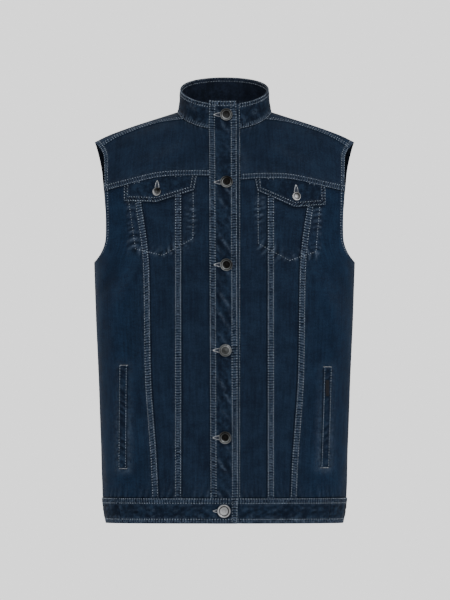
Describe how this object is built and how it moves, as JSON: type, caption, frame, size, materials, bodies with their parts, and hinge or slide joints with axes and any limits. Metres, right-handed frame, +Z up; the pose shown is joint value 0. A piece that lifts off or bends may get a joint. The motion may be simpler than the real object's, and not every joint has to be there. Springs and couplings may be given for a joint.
{
  "type": "denim vest held by its wearer",
  "caption": "Sleeveless denim vest with a stand collar, buttoned placket, pointed chest flaps, welt hand pockets and a straight waistband, filled out as it is worn.",
  "frame": {"origin": "midway between the two points where the shoulders meet the collar, at the neck where the wearer holds the vest up", "axes": "+Z up along the body, -Y out of the front, +X to the wearer's left"},
  "size_m": [0.4176, 0.2519, 0.7145],
  "materials": {
    "denim": "dark indigo denim, matte twill",
    "denim_worn": "dark indigo denim with abraded edges",
    "pocketing": "dark plain cotton",
    "tab_cloth": "dark woven tape, bare",
    "gunmetal": "dark gunmetal plating",
    "steel": "worn silver plating"
  },
  "bodies": {
    "root": {"front_yoke_right": "denim", "front_centre_right": "denim", "front_pocket_right": "denim", "front_side_right": "denim", "chest_flap_right": "denim_worn", "chest_bag_right": "pocketing", "hand_welt_right": "denim_worn", "hand_bag_right": "pocketing", "waistband_right": "denim_worn", "front_yoke_left": "denim", "front_centre_left": "denim", "front_pocket_left": "denim", "front_side_left": "denim", "chest_flap_left": "denim_worn", "chest_bag_left": "pocketing", "hand_welt_left": "denim_worn", "hand_bag_left": "pocketing", "waistband_left": "denim_worn", "back": "denim", "waistband_back": "denim_worn", "collar": "denim_worn", "button_band": "denim", "placket": "denim_worn", "blank_tab": "tab_cloth", "button_1": "gunmetal", "button_2": "gunmetal", "button_3": "gunmetal", "button_4": "gunmetal", "button_5": "gunmetal", "button_waist": "steel", "button_flap_right": "steel", "button_flap_left": "steel"}
  },
  "joints": []
}
